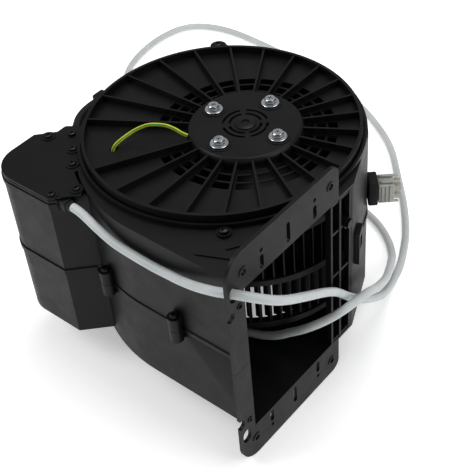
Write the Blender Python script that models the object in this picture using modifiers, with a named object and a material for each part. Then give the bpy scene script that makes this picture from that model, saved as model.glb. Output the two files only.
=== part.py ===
"""Double-inlet centrifugal blower: scroll casing in two halves, ribbed motor plate,
squirrel-cage impeller on an internal motor, electronics box, outlet flange and mains cable.

Lengths are millimetres until they reach Blender, where MM turns them into metres.
X is the discharge direction, Z is the fan axis, and the part stands on Z = 0.
Shapes are placed from the fan axis; the frame empty carries them to the part's origin.
"""
import math

import bmesh
import bpy
from mathutils import Matrix, Vector

MM = 0.001
GAP = 0.3  # kept between touching pieces

# Heights, from the surface the blower stands on
CASING_HEIGHT = 154.0
EAR_HEIGHT = 32.0
FLANGE_HEIGHT = CASING_HEIGHT + 2 * EAR_HEIGHT
MID_HEIGHT = FLANGE_HEIGHT / 2
CASING_TOP = MID_HEIGHT + CASING_HEIGHT / 2
CASING_BOTTOM = MID_HEIGHT - CASING_HEIGHT / 2
WALL = 2.5

# Scroll, round the fan axis
SCROLL_SMALL = 95.5
SCROLL_LARGE = 134.5
SCROLL_START = 33.0
SCROLL_FULL = 190.0
SCROLL_STEPS = 26
TONGUE_Y = -1.5

# Outlet flange
OUTLET_X = 103.0
FLANGE_THICKNESS = 3.0
FLANGE_SIDE = 14.5
FLANGE_NOTCH = 5.0
FLANGE_NOTCH_HEIGHT = 50.0
EAR_RIGHT = -21.0
EAR_CORNER = 20.0
EAR_TIP = 9.0
SLOT_WIDTH = 4.0
SLOT_LENGTH = 12.0
SLOT_LONG = 18.0
BOLT_HOLE = 5.0
PILOT_HOLE = 3.4
CABLE_HOLE = 9.0
CABLE_HOLE_LENGTH = 14.0
CABLE_HOLE_RISE = 32.0

# Electronics box, in the corner between the scroll and its front wall
BOX_LEFT = -147.0
BOX_FRONT = -143.0
BOX_RADIUS = 26.0
BOX_STEP = 13.0
BOX_BACK = -79.0
BOX_TOP = CASING_TOP - 6.0
BOX_FLOOR = CASING_BOTTOM + 4.0
LID_SHEET = 2.0
LID_EDGE = 115.0
LID_STEP = 5.0
LID_BOSS = 4.0
LID_BOSS_DEPTH = 20.0
LID_SCREWS = ((-121.0, -75.0), (-106.0, -88.8), (-92.6, -102.3), (-68.0, -122.0),
              (-135.0, -88.0), (-79.0, -138.0))
LID_SCREW_RADIUS = 3.2

# Motor plate, set off the fan axis towards the box
PLATE_X = -18.0
PLATE_Y = -8.0
PLATE_RADIUS = 111.0
PLATE_RIM = 2.7
PLATE_TOP = CASING_TOP + 10.0
PLATE_FLOOR = PLATE_TOP - 6.0
PLATE_SHEET = 2.2
PLATE_SEAT = 6.0
RIB_COUNT = 24
RIB_MISSING = 19
RIB_ANGLE = 150.2
RIB_WIDTH = 1.8
HUB_RADIUS = 44.3
HUB_RISE = 1.3
HUB_SHEET = 2.6
VENT_INNER = 46.5
VENT_OUTER = 72.0
VENT_ROWS = 3
VENT_BAR = 1.8
COLLAR_HEIGHT = 4.0
COLLAR_WIDTH = 2.2
COLLAR_CLEARANCE = 1.2

# Motor screws on the hub
SCREW_CIRCLE = 32.0
WASHER_RADIUS = 7.3
WASHER_SHEET = 1.2
HEX_RADIUS = 4.6
HEX_HEIGHT = 3.4
SHANK_RADIUS = 2.4

# Impeller
IMPELLER_RADIUS = 90.0
IMPELLER_HEIGHT = 100.0
BLADE_COUNT = 44
BLADE_CHORD = 13.0
BLADE_SHEET = 1.3
RING_HEIGHT = 6.0
RING_WIDTH = 3.0
BACKPLATE = 2.0
BOSS_RADIUS = 11.0
BOSS_HEIGHT = 18.0
SHAFT_RADIUS = 4.0
NUT_RADIUS = 7.0
NUT_HEIGHT = 5.0

# Motor inside the upper half of the impeller
MOTOR_RADIUS = 41.0
MOTOR_SHEET = 2.0
STATOR_BORE = 23.0
STATOR_HEIGHT = 34.0
ROTOR_CLEARANCE = 0.6
SHIELD_DEPTH = 16.0
BEARING_RADIUS = 10.0
BEARING_WIDTH = 6.0
WINDING_INNER = STATOR_BORE + 3.0
WINDING_OUTER = MOTOR_RADIUS - MOTOR_SHEET - 2.0
WINDING_HEIGHT = 8.0

# Lower inlet and the stand ring below it
INLET_RADIUS = 66.0
INLET_LIP = 12.0
STAND_RADIUS = 82.0
STAND_WINDOWS = 12
STAND_POST = 9.0
STAND_FOOT = 5.0

# Seam bosses and their screws
SEAM_BOSS = 5.5
SEAM_BOSS_OUT = 4.0
SEAM_BOSS_HEIGHT = 12.0
SEAM_ANGLES = (65.0, 150.0, 195.0, 253.3)
SEAM_FRONT_X = 37.0

CABLE_DIAMETER = 7.2
SLEEVE_DIAMETER = 8.0
WIRE_DIAMETER = 3.0
BEND_REACH = 60.0


def smooth_step(share):
    share = min(max(share, 0.0), 1.0)
    return share * share * (3 - 2 * share)


def scroll_radius(angle):
    """Outer radius of the scroll: it opens from the tongue and then stays full."""
    share = (angle - SCROLL_START) / (SCROLL_FULL - SCROLL_START)
    return SCROLL_SMALL + (SCROLL_LARGE - SCROLL_SMALL) * smooth_step(share)


def polar(radius, angle, x=0.0, y=0.0):
    turn = math.radians(angle)
    return (x + radius * math.cos(turn), y + radius * math.sin(turn))


def arc(x, y, radius, start, end, steps):
    return [polar(radius, start + (end - start) * i / steps, x, y) for i in range(steps + 1)]


def circle(x, y, radius, steps):
    return arc(x, y, radius, 0, 360, steps)[:-1]


def slot(x, y, width, length, steps=4):
    """A slot that runs along the second axis."""
    reach = (length - width) / 2
    upper = arc(x, y + reach, width / 2, 0, 180, steps)
    return upper + arc(x, y - reach, width / 2, 180, 360, steps)


def sector(inner, outer, start, end, steps=3):
    return arc(0, 0, outer, start, end, steps) + arc(0, 0, inner, end, start, steps)


def inset(points, distance):
    """Move each edge of a counter-clockwise outline inwards by the distance."""
    result = []
    for i, point in enumerate(points):
        here = Vector(point)
        before = (here - Vector(points[i - 1])).normalized()
        after = (Vector(points[(i + 1) % len(points)]) - here).normalized()
        normal_a = Vector((-before.y, before.x))
        normal_b = Vector((-after.y, after.x))
        mitre = (normal_a + normal_b) / (1 + normal_a.dot(normal_b))
        result.append(tuple(here + mitre * distance))
    return result


# The origin is the bottom centre of the part's box, with the cable left out
BACK_REACH = max(polar(scroll_radius(a), a)[1] for a in range(80, 121))
AXIS_X = -(BOX_LEFT + OUTLET_X) / 2
AXIS_Y = (SCROLL_LARGE + FLANGE_SIDE - BACK_REACH) / 2


# ---- scene, materials and basic solids

for old in list(bpy.data.objects):
    bpy.data.objects.remove(old, do_unlink=True)

parts = bpy.data.collections.new("centrifugal_blower")
cutters = bpy.data.collections.new("cutters")
for collection in (parts, cutters):
    bpy.context.scene.collection.children.link(collection)

frame = bpy.data.objects.new("blower_frame", None)
frame.location = (AXIS_X * MM, AXIS_Y * MM, 0)
parts.objects.link(frame)


def material(name, color, roughness, metallic=0.0):
    result = bpy.data.materials.new(name)
    result.use_nodes = True
    shader = result.node_tree.nodes["Principled BSDF"]
    shader.inputs["Base Color"].default_value = (*color, 1)
    shader.inputs["Roughness"].default_value = roughness
    shader.inputs["Metallic"].default_value = metallic
    return result


BLACK_PLASTIC = material("black_plastic", (0.018, 0.018, 0.02), 0.45)
WHITE_NYLON = material("white_nylon", (0.75, 0.75, 0.7), 0.4)
CABLE_SHEATH = material("cable_sheath", (0.75, 0.77, 0.77), 0.45)
ZINC_STEEL = material("zinc_steel", (0.65, 0.66, 0.68), 0.3, 1.0)
MOTOR_STEEL = material("motor_steel", (0.4, 0.4, 0.42), 0.4, 1.0)
COPPER = material("copper_winding", (0.6, 0.25, 0.1), 0.4, 1.0)
SLEEVING = material("black_sleeving", (0.02, 0.02, 0.02), 0.7)
BROWN_WIRE = material("brown_wire", (0.15, 0.05, 0.02), 0.5)
EARTH_WIRE = material("earth_wire", (0.55, 0.6, 0.05), 0.45)
BOARD = material("circuit_board", (0.05, 0.2, 0.08), 0.5)
CAN = material("capacitor_can", (0.7, 0.7, 0.68), 0.4)


def add_object(name, data, collection=parts, finish=None):
    result = bpy.data.objects.new(name, data)
    result.parent = frame
    collection.objects.link(result)
    if finish is not None:
        data.materials.append(finish)
    if collection is cutters:
        result.hide_render = True
        result.display_type = "WIRE"
    return result


def mesh_object(name, body, collection=parts, finish=None):
    mesh = bpy.data.meshes.new(name)
    bmesh.ops.recalc_face_normals(body, faces=body.faces)
    body.to_mesh(mesh)
    body.free()
    return add_object(name, mesh, collection, finish)


def flat_solid(name, outlines, low, high, collection=parts, finish=None, turn=Matrix.Identity(4)):
    """Extrude outlines along the third axis; outlines inside another one are holes."""
    curve = bpy.data.curves.new(name, "CURVE")
    curve.dimensions = "2D"
    curve.fill_mode = "BOTH"
    curve.extrude = (high - low) / 2 * MM
    for points in outlines:
        spline = curve.splines.new("POLY")
        spline.points.add(len(points) - 1)
        spline.use_cyclic_u = True
        for target, (x, y) in zip(spline.points, points):
            target.co = (x * MM, y * MM, 0, 1)
    guide = bpy.data.objects.new(name, curve)
    bpy.context.scene.collection.objects.link(guide)
    bpy.context.view_layer.update()
    evaluated = guide.evaluated_get(bpy.context.evaluated_depsgraph_get())
    mesh = bpy.data.meshes.new_from_object(evaluated)
    bpy.data.objects.remove(guide, do_unlink=True)
    body = bmesh.new()
    body.from_mesh(mesh)
    bmesh.ops.remove_doubles(body, verts=body.verts, dist=0.00001)
    bmesh.ops.dissolve_limit(body, angle_limit=0.001, verts=body.verts, edges=body.edges)
    bmesh.ops.translate(body, verts=body.verts, vec=(0, 0, (low + high) / 2 * MM))
    bmesh.ops.transform(body, verts=body.verts, matrix=turn)
    bpy.data.meshes.remove(mesh)
    return mesh_object(name, body, collection, finish)


def turned_solid(name, profile, collection=parts, finish=None, steps=24, x=0.0, y=0.0):
    """Spin a closed profile of (radius, height) about the vertical through x, y."""
    area = sum(a[0] * b[1] - b[0] * a[1] for a, b in zip(profile, profile[1:] + profile[:1]))
    ordered = profile if area < 0 else profile[::-1]
    mesh = bpy.data.meshes.new(name)
    edges = [(i, (i + 1) % len(ordered)) for i in range(len(ordered))]
    mesh.from_pydata([(r * MM, 0, z * MM) for r, z in ordered], edges, [])
    result = add_object(name, mesh, collection, finish)
    result.location = (x * MM, y * MM, 0)
    screw = result.modifiers.new("turn", "SCREW")
    screw.steps = screw.render_steps = steps
    screw.use_merge_vertices = True
    screw.merge_threshold = 0.0001
    screw.use_normal_calculate = False
    return result


def ring_profile(inner, outer, low, high):
    return [(outer, high), (outer, low), (inner, low), (inner, high)]


def cylinder(body, x, y, radius, low, high, sides=12):
    place = Matrix.Translation((x * MM, y * MM, (low + high) / 2 * MM))
    bmesh.ops.create_cone(body, cap_ends=True, segments=sides, radius1=radius * MM,
                          radius2=radius * MM, depth=(high - low) * MM, matrix=place)


def block(body, low, high, turn=Matrix.Identity(4)):
    size = [(b - a) * MM for a, b in zip(low, high)]
    middle = Vector([(a + b) / 2 * MM for a, b in zip(low, high)])
    place = turn @ Matrix.Translation(middle) @ Matrix.Diagonal((*size, 1))
    bmesh.ops.create_cube(body, size=1, matrix=place)


def combine(target, other, operation):
    modifier = target.modifiers.new(operation.lower(), "BOOLEAN")
    modifier.operation = operation
    modifier.object = other
    modifier.solver = "EXACT"
    return modifier


def screw_solid(name, x, y, head_low, head_radius, head_height, shank_low, sides, finish=None):
    """A screw with its head up: the shank is extruded from the inset underside of the head."""
    body = bmesh.new()
    cylinder(body, x, y, head_radius, head_low, head_low + head_height, sides)
    under = min(body.faces, key=lambda face: face.calc_center_median().z)
    bmesh.ops.inset_individual(body, faces=[under], thickness=(head_radius - SHANK_RADIUS) * MM * 0.85)
    shank = bmesh.ops.extrude_discrete_faces(body, faces=[under])["faces"][0]
    bmesh.ops.translate(body, verts=shank.verts, vec=(0, 0, (shank_low - head_low) * MM))
    bmesh.ops.remove_doubles(body, verts=body.verts, dist=0.000001)
    return mesh_object(name, body, finish=finish or ZINC_STEEL)


def tube(name, route, diameter, finish, points, resolution=2):
    """A round cord on a smooth curve through the route, with more points where it bends."""
    nodes = [Vector(p) for p in route]
    dense = []
    for i in range(len(nodes) - 1):
        a = nodes[max(i - 1, 0)]
        b, c = nodes[i], nodes[i + 1]
        d = nodes[min(i + 2, len(nodes) - 1)]
        for step in range(24):
            t = step / 24
            dense.append(0.5 * (2 * b + (c - a) * t + (2 * a - 5 * b + 4 * c - d) * t * t
                                + (3 * b - a - 3 * c + d) * t ** 3))
    dense.append(nodes[-1])
    reach = [0.0]
    heading = dense[1] - dense[0]
    for a, b in zip(dense, dense[1:]):
        reach.append(reach[-1] + (b - a).length + BEND_REACH * heading.angle(b - a))
        heading = b - a
    curve = bpy.data.curves.new(name, "CURVE")
    curve.dimensions = "3D"
    curve.bevel_depth = diameter / 2 * MM
    curve.bevel_resolution = resolution
    curve.use_fill_caps = True
    spline = curve.splines.new("POLY")
    spline.points.add(points - 1)
    j = 0
    for i in range(points):
        wanted = reach[-1] * i / (points - 1)
        while j < len(reach) - 2 and reach[j + 1] < wanted:
            j += 1
        share = (wanted - reach[j]) / (reach[j + 1] - reach[j])
        spline.points[i].co = (*(dense[j].lerp(dense[j + 1], share) * MM), 1)
    return add_object(name, curve, finish=finish)


# ---- outlines of the casing

def scroll_outline(end_x=OUTLET_X):
    """Counter-clockwise: from the tongue round the scroll and along the front wall."""
    points = [(OUTLET_X, TONGUE_Y)]
    if end_x > OUTLET_X:
        points.insert(0, (end_x, TONGUE_Y))
    for i in range(SCROLL_STEPS + 1):
        angle = SCROLL_START + (270 - SCROLL_START) * i / SCROLL_STEPS
        points.append(polar(scroll_radius(angle), angle))
    return points + [(end_x, -SCROLL_LARGE)]


def box_edge():
    """The free side of the electronics box, from the back round to the front."""
    step_x = BOX_LEFT + BOX_STEP
    points = [(-120, -60), (step_x, BOX_BACK + 9), (step_x, BOX_BACK), (BOX_LEFT, BOX_BACK - BOX_STEP - 1)]
    points += arc(BOX_LEFT + BOX_RADIUS, BOX_FRONT + BOX_RADIUS, BOX_RADIUS, 180, 270, 6)
    return points + [(-78, BOX_FRONT), (-60, BOX_FRONT + 18)]


def box_outline():
    return box_edge() + [(-54, -119), polar(SCROLL_LARGE - 20, 245), polar(SCROLL_LARGE - 20, 207)]


def lid_outline():
    points = box_edge()
    points += arc(PLATE_X, PLATE_Y, LID_EDGE + LID_STEP, 248, 236.5, 3)
    points += arc(PLATE_X, PLATE_Y, LID_EDGE, 236, 208.5, 8)
    return points


def flange_outline(lower):
    """One half of the flange, in (y, z): the side strip and its ear, with the holes."""
    left = -SCROLL_LARGE - FLANGE_SIDE
    inner_y = -SCROLL_LARGE + 1
    seam = MID_HEIGHT - GAP / 2
    points = [(EAR_RIGHT, CASING_BOTTOM + 1), (inner_y, CASING_BOTTOM + 1), (inner_y, seam), (left, seam)]
    points += [(left, FLANGE_NOTCH_HEIGHT + FLANGE_NOTCH)]
    points += [(left + FLANGE_NOTCH, FLANGE_NOTCH_HEIGHT - FLANGE_NOTCH / 2)]
    points += [(left, FLANGE_NOTCH_HEIGHT - FLANGE_NOTCH)]
    points += arc(left + EAR_CORNER, EAR_CORNER, EAR_CORNER, 180, 270, 6)
    points += arc(EAR_RIGHT - EAR_TIP, EAR_TIP, EAR_TIP, 270, 360, 4)
    holes = [circle(-131.5, 19, BOLT_HOLE / 2, 10), circle(-31.5, 15, BOLT_HOLE / 2, 10)]
    holes += [circle(y, z, PILOT_HOLE / 2, 8) for y, z in ((-50.5, 14), (-111.5, 14.5), (-SCROLL_LARGE - 3, 47))]
    holes += [slot(y, 25, SLOT_WIDTH, SLOT_LENGTH) for y in (-50.5, -111.5)]
    holes += [slot(-81.5, 21, SLOT_WIDTH, SLOT_LONG)]
    holes += [slot(-SCROLL_LARGE - 7.8, CABLE_HOLE_RISE, CABLE_HOLE, CABLE_HOLE_LENGTH, 6)]
    outlines = [points] + holes
    if lower:
        return outlines
    return [[(y, FLANGE_HEIGHT - z) for y, z in outline][::-1] for outline in outlines]


# Turns a flat outline in (y, z) so that its thickness runs along X
ACROSS = Matrix(((0, 0, 1, 0), (1, 0, 0, 0), (0, 1, 0, 0), (0, 0, 0, 1)))

HOLE_RADIUS = SHANK_RADIUS + 2 * GAP
SEAM_PLACES = [polar(scroll_radius(a) + SEAM_BOSS_OUT, a) for a in SEAM_ANGLES]
SEAM_PLACES.append((SEAM_FRONT_X, -SCROLL_LARGE - SEAM_BOSS_OUT))
TAB_PLACE = (-102.0, 88.5)
TAB_OUTLINE = ((-84, 86), (-97, 95), (-104, 95.5), (-109, 90.5), (-108.5, 84), (-92, 72))
LUG_PLACE = (59.0, -99.0)
LUG_RISE = 2.0
GLAND_Y = -133.5
GLAND_HEIGHT = CASING_TOP - 10.5
DUCT_Y = -28.0
DUCT_HEIGHT = CASING_TOP - 8.0


# ---- casing halves

def casing_half(name, lower):
    seam = MID_HEIGHT + (-GAP if lower else GAP) / 2
    away = -1 if lower else 1
    outer_end = CASING_BOTTOM if lower else CASING_TOP
    box_end = BOX_FLOOR if lower else BOX_TOP + 1
    box_inner_end = BOX_FLOOR + WALL if lower else BOX_TOP + 5

    half = flat_solid(name, [scroll_outline()], *sorted((seam, outer_end)), finish=BLACK_PLASTIC)
    box = flat_solid(name + "_box", [box_outline()], *sorted((seam, box_end)), cutters)
    combine(half, box, "UNION")
    flange = flat_solid(name + "_flange", flange_outline(lower), OUTLET_X - FLANGE_THICKNESS, OUTLET_X,
                        cutters, turn=ACROSS)
    combine(half, flange, "UNION")

    bosses = bmesh.new()
    for x, y in SEAM_PLACES:
        cylinder(bosses, x, y, SEAM_BOSS, *sorted((seam, seam + away * SEAM_BOSS_HEIGHT)))
    if not lower:
        block(bosses, (-145, DUCT_Y, DUCT_HEIGHT - 8), (-128, DUCT_Y + 12, DUCT_HEIGHT + 6))
    combine(half, mesh_object(name + "_bosses", bosses, cutters), "UNION")
    if not lower:
        tab = flat_solid(name + "_tab", [TAB_OUTLINE], CASING_TOP - 6, CASING_TOP, cutters)
        combine(half, tab, "UNION")

    hollow = flat_solid(name + "_hollow", [inset(scroll_outline(OUTLET_X + 10), WALL)],
                        *sorted((seam - away * 5, outer_end - away * WALL)), cutters)
    combine(half, hollow, "DIFFERENCE")
    box_hollow = flat_solid(name + "_box_hollow", [inset(box_outline(), WALL)],
                            *sorted((seam - away * 5, box_inner_end)), cutters)
    keep = flat_solid(name + "_keep", [inset(scroll_outline(), -GAP)], 0, FLANGE_HEIGHT, cutters)
    combine(box_hollow, keep, "DIFFERENCE")
    combine(half, box_hollow, "DIFFERENCE")
    return half


def screw_holes(name, places, low, high):
    holes = bmesh.new()
    for x, y in places:
        cylinder(holes, x, y, HOLE_RADIUS, low, high, 8)
    return mesh_object(name, holes, cutters)


lower_casing = casing_half("lower_casing", lower=True)
inlet_hole = bmesh.new()
cylinder(inlet_hole, 0, 0, INLET_RADIUS + WALL + GAP, CASING_BOTTOM - 5, CASING_BOTTOM + 10, 48)
combine(lower_casing, mesh_object("inlet_hole", inlet_hole, cutters), "DIFFERENCE")
combine(lower_casing, screw_holes("lower_seam_holes", SEAM_PLACES, MID_HEIGHT - 20, MID_HEIGHT + 5),
        "DIFFERENCE")

upper_casing = casing_half("upper_casing", lower=False)
# The lid lies in a recess of the shoulder, so the shoulder is thicker below it
shelf_outline = arc(PLATE_X, PLATE_Y, LID_EDGE - WALL - GAP, 206, 250, 8)
shelf_outline += arc(0, 0, SCROLL_LARGE - 1, 249, 207, 8)
shelf = flat_solid("lid_shelf", [shelf_outline[::-1]], BOX_TOP - WALL, CASING_TOP - 0.5, cutters)
combine(upper_casing, shelf, "UNION")
lid_bosses = bmesh.new()
for x, y in LID_SCREWS:
    cylinder(lid_bosses, x, y, LID_BOSS, BOX_TOP - LID_BOSS_DEPTH, BOX_TOP + 1, 8)
combine(upper_casing, mesh_object("lid_bosses", lid_bosses, cutters), "UNION")
lid_webs = bmesh.new()
for x, y in LID_SCREWS[:4]:
    radius = math.hypot(x, y)
    turn = Matrix.Rotation(math.atan2(y, x), 4, "Z")
    block(lid_webs, (SCROLL_LARGE - 1.5, -2, BOX_TOP - LID_BOSS_DEPTH + 2), (radius - 1, 2, BOX_TOP + 0.5), turn)
combine(upper_casing, mesh_object("lid_webs", lid_webs, cutters), "UNION")
collar_inner = PLATE_RADIUS + COLLAR_CLEARANCE
collar = turned_solid("collar", ring_profile(collar_inner, collar_inner + COLLAR_WIDTH, CASING_TOP - 1,
                                             CASING_TOP + COLLAR_HEIGHT), cutters, steps=48, x=PLATE_X, y=PLATE_Y)
combine(upper_casing, collar, "UNION")
lug = bmesh.new()
cylinder(lug, *LUG_PLACE, 5.5, CASING_TOP - 9, CASING_TOP + LUG_RISE, 14)
combine(upper_casing, mesh_object("plate_lug", lug, cutters), "UNION")
recess = flat_solid("lid_recess", [inset(lid_outline(), -GAP)], BOX_TOP, CASING_TOP + 3, cutters)
combine(upper_casing, recess, "DIFFERENCE")
plate_hole = bmesh.new()
cylinder(plate_hole, PLATE_X, PLATE_Y, PLATE_RADIUS - PLATE_SEAT, CASING_TOP - 10, CASING_TOP + 5, 48)
combine(upper_casing, mesh_object("plate_hole", plate_hole, cutters), "DIFFERENCE")
combine(upper_casing, screw_holes("lid_screw_holes", LID_SCREWS, BOX_TOP - 12, BOX_TOP + 5), "DIFFERENCE")
combine(upper_casing, screw_holes("upper_seam_holes", SEAM_PLACES, MID_HEIGHT - 5, MID_HEIGHT + 20),
        "DIFFERENCE")
combine(upper_casing, screw_holes("plate_holes", (TAB_PLACE, LUG_PLACE), CASING_TOP - 15, CASING_TOP + 8),
        "DIFFERENCE")
gland_notch = bmesh.new()
block(gland_notch, (-74.5, GLAND_Y - 4.8, GLAND_HEIGHT - 4.8), (-55, GLAND_Y + 4.8, BOX_TOP + 5))
combine(upper_casing, mesh_object("gland_notch", gland_notch, cutters), "DIFFERENCE")


# ---- motor plate with its ribs, vents and hub

def rim_reach(angle, radius):
    """Distance from the fan axis to a circle about the plate centre."""
    turn = math.radians(angle)
    along = PLATE_X * math.cos(turn) + PLATE_Y * math.sin(turn)
    return along + math.sqrt(along ** 2 + radius ** 2 - PLATE_X ** 2 - PLATE_Y ** 2)


plate_outlines = [circle(PLATE_X, PLATE_Y, PLATE_RADIUS - 1, 48), circle(0, 0, HUB_RADIUS - 1, 32)]
vent_step = (VENT_OUTER - VENT_INNER + VENT_BAR) / VENT_ROWS
for k in range(RIB_COUNT):
    start = RIB_ANGLE - 15 * (k + 1)
    if k in (RIB_MISSING, RIB_MISSING - 1):
        continue
    for row in range(VENT_ROWS):
        low = VENT_INNER + row * vent_step
        high = low + vent_step - VENT_BAR
        plate_outlines.append(sector(low, high, start + 1.9, start + 13.1, 1))
wire_slot = (-71.0, -76.0)
plate_outlines.append(slot(*wire_slot, 5.0, 8.0))
motor_plate = flat_solid("motor_plate", plate_outlines, PLATE_FLOOR - PLATE_SHEET, PLATE_FLOOR,
                         finish=BLACK_PLASTIC)
rim = turned_solid("plate_rim", ring_profile(PLATE_RADIUS - PLATE_RIM, PLATE_RADIUS, CASING_TOP + GAP,
                                             PLATE_TOP), cutters, steps=48, x=PLATE_X, y=PLATE_Y)
combine(motor_plate, rim, "UNION")
ribs = bmesh.new()
for k in range(RIB_COUNT):
    if k == RIB_MISSING:
        continue
    angle = RIB_ANGLE - 15 * k
    turn = Matrix.Rotation(math.radians(angle), 4, "Z")
    block(ribs, (HUB_RADIUS - 1, -RIB_WIDTH / 2, PLATE_FLOOR - 1),
          (rim_reach(angle, PLATE_RADIUS - 1), RIB_WIDTH / 2, PLATE_TOP - 0.4), turn)
combine(motor_plate, mesh_object("plate_ribs", ribs, cutters), "UNION")
hub_outlines = [circle(0, 0, HUB_RADIUS - 0.5, 32)]
hub_outlines += [circle(*polar(SCREW_CIRCLE, a), HOLE_RADIUS, 8) for a in range(0, 360, 90)]
for radius in (12.5, 17.5):
    hub_outlines += [sector(radius - 1, radius + 1, a + 8, a + 82, 3) for a in range(45, 360, 90)]
hub_top = PLATE_TOP + HUB_RISE
hub_disc = flat_solid("plate_hub_disc", hub_outlines, hub_top - HUB_SHEET, hub_top, cutters)
hub_wall = turned_solid("plate_hub_wall", ring_profile(HUB_RADIUS - 2.4, HUB_RADIUS, PLATE_FLOOR - PLATE_SHEET
                                                       + 0.5, hub_top), cutters, steps=32)
combine(motor_plate, hub_wall, "UNION")
combine(motor_plate, hub_disc, "UNION")

# ---- screws of the plate, the motor, the lid, the seam and the guard

for number, angle in enumerate(range(0, 360, 90), 1):
    x, y = polar(SCREW_CIRCLE, angle)
    turned_solid(f"motor_washer_{number}", ring_profile(HOLE_RADIUS, WASHER_RADIUS, hub_top + GAP, hub_top + GAP
                                                        + WASHER_SHEET), finish=ZINC_STEEL, steps=16, x=x, y=y)
    screw_solid(f"motor_screw_{number}", x, y, hub_top + 2 * GAP + WASHER_SHEET, HEX_RADIUS, HEX_HEIGHT,
                hub_top - HUB_SHEET - GAP - 5, 6)
for name, (x, y), base in (("plate_screw_front", LUG_PLACE, CASING_TOP + LUG_RISE),
                           ("plate_screw_back", TAB_PLACE, CASING_TOP)):
    screw_solid(name, x, y, base + GAP, 4.0, 2.4, base - 10, 8)
for number, (x, y) in enumerate(LID_SCREWS, 1):
    screw_solid(f"lid_screw_{number}", x, y, BOX_TOP + 2 * GAP + LID_SHEET, LID_SCREW_RADIUS, 1.8, BOX_TOP - 10, 8)
seam_top = MID_HEIGHT + GAP / 2 + SEAM_BOSS_HEIGHT
for name, (x, y) in zip(("side", "back", "left", "corner", "front"), SEAM_PLACES):
    screw_solid(f"seam_screw_{name}", x, y, seam_top + GAP, 3.6, 2.4, MID_HEIGHT - SEAM_BOSS_HEIGHT + 2, 8)

# ---- lid of the electronics box

lid = flat_solid("box_lid", [lid_outline()], BOX_TOP + GAP, BOX_TOP + GAP + LID_SHEET, finish=BLACK_PLASTIC)
combine(lid, screw_holes("lid_holes", LID_SCREWS, BOX_TOP - 2, BOX_TOP + 8), "DIFFERENCE")
lid_notch = bmesh.new()
block(lid_notch, (-75.5, GLAND_Y - 5.5, BOX_TOP - 2), (-50, GLAND_Y + 5.5, BOX_TOP + 1.2))
combine(lid, mesh_object("lid_notch", lid_notch, cutters), "DIFFERENCE")

# ---- impeller

seat = SHAFT_RADIUS + GAP
ring_inner = IMPELLER_RADIUS - RING_WIDTH
boss_low = MID_HEIGHT - BOSS_HEIGHT / 2 - 2
boss_high = boss_low + BOSS_HEIGHT
disc_low = MID_HEIGHT - BACKPLATE / 2
disc_high = MID_HEIGHT + BACKPLATE / 2
ring_low = MID_HEIGHT - RING_HEIGHT / 2
ring_high = MID_HEIGHT + RING_HEIGHT / 2
impeller_low = MID_HEIGHT - IMPELLER_HEIGHT / 2
impeller_high = MID_HEIGHT + IMPELLER_HEIGHT / 2
impeller = turned_solid("impeller", [
    (seat, boss_low), (BOSS_RADIUS, boss_low), (BOSS_RADIUS, disc_low), (ring_inner, disc_low),
    (ring_inner, ring_low), (IMPELLER_RADIUS, ring_low), (IMPELLER_RADIUS, ring_high), (ring_inner, ring_high),
    (ring_inner, disc_high), (BOSS_RADIUS, disc_high), (BOSS_RADIUS, boss_high), (seat, boss_high)],
    finish=BLACK_PLASTIC, steps=BLADE_COUNT)
blades = bmesh.new()
blade_middle = IMPELLER_RADIUS - 1 - BLADE_CHORD / 2
for row, (low, high) in enumerate(((impeller_low + 1, disc_low + 0.5), (disc_high - 0.5, impeller_high - 1))):
    for i in range(BLADE_COUNT):
        angle = 2 * math.pi * (i + row / 2) / BLADE_COUNT
        turn = Matrix.Rotation(angle, 4, "Z") @ Matrix.Translation((blade_middle * MM, 0, 0))
        turn = turn @ Matrix.Rotation(math.radians(14), 4, "Z")
        block(blades, (-BLADE_CHORD / 2, -BLADE_SHEET / 2, low), (BLADE_CHORD / 2, BLADE_SHEET / 2, high), turn)
combine(impeller, mesh_object("impeller_blades", blades, cutters), "UNION")
for name, low in (("impeller_low_ring", impeller_low), ("impeller_high_ring", impeller_high - RING_HEIGHT)):
    ring = turned_solid(name, ring_profile(ring_inner, IMPELLER_RADIUS, low, low + RING_HEIGHT), cutters,
                        steps=BLADE_COUNT)
    combine(impeller, ring, "UNION")

# ---- motor: shaft, rotor, stator, windings, bearings and end shields

motor_top = hub_top - HUB_SHEET - GAP
top_disc = motor_top - 6
bearing_top = top_disc - GAP
stator_high = motor_top - 28
stator_low = stator_high - STATOR_HEIGHT
bottom_disc = stator_low - SHIELD_DEPTH
shaft = bmesh.new()
cylinder(shaft, 0, 0, SHAFT_RADIUS, boss_low - NUT_HEIGHT - 4, top_disc - 1, 24)
mesh_object("motor_shaft", shaft, finish=MOTOR_STEEL)
nut = bmesh.new()
cylinder(nut, 0, 0, NUT_RADIUS, boss_low - GAP - NUT_HEIGHT, boss_low - GAP, 6)
impeller_nut = mesh_object("impeller_nut", nut, finish=ZINC_STEEL)
nut_bore = bmesh.new()
cylinder(nut_bore, 0, 0, seat, boss_low - 20, boss_low + 5, 24)
combine(impeller_nut, mesh_object("nut_bore", nut_bore, cutters), "DIFFERENCE")
turned_solid("rotor_core", ring_profile(seat, STATOR_BORE - ROTOR_CLEARANCE, stator_low + 1, stator_high - 1),
             finish=MOTOR_STEEL)
turned_solid("stator_core", ring_profile(STATOR_BORE, MOTOR_RADIUS, stator_low, stator_high), finish=MOTOR_STEEL)
for name, low in (("winding_top", stator_high + GAP), ("winding_bottom", stator_low - GAP - WINDING_HEIGHT)):
    turned_solid(name, ring_profile(WINDING_INNER, WINDING_OUTER, low, low + WINDING_HEIGHT), finish=COPPER)
for name, low in (("bearing_top", bearing_top - BEARING_WIDTH), ("bearing_bottom", bottom_disc + 3 + GAP)):
    turned_solid(name, ring_profile(seat, BEARING_RADIUS, low, low + BEARING_WIDTH), finish=ZINC_STEEL)
bearing_seat = BEARING_RADIUS + GAP
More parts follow.
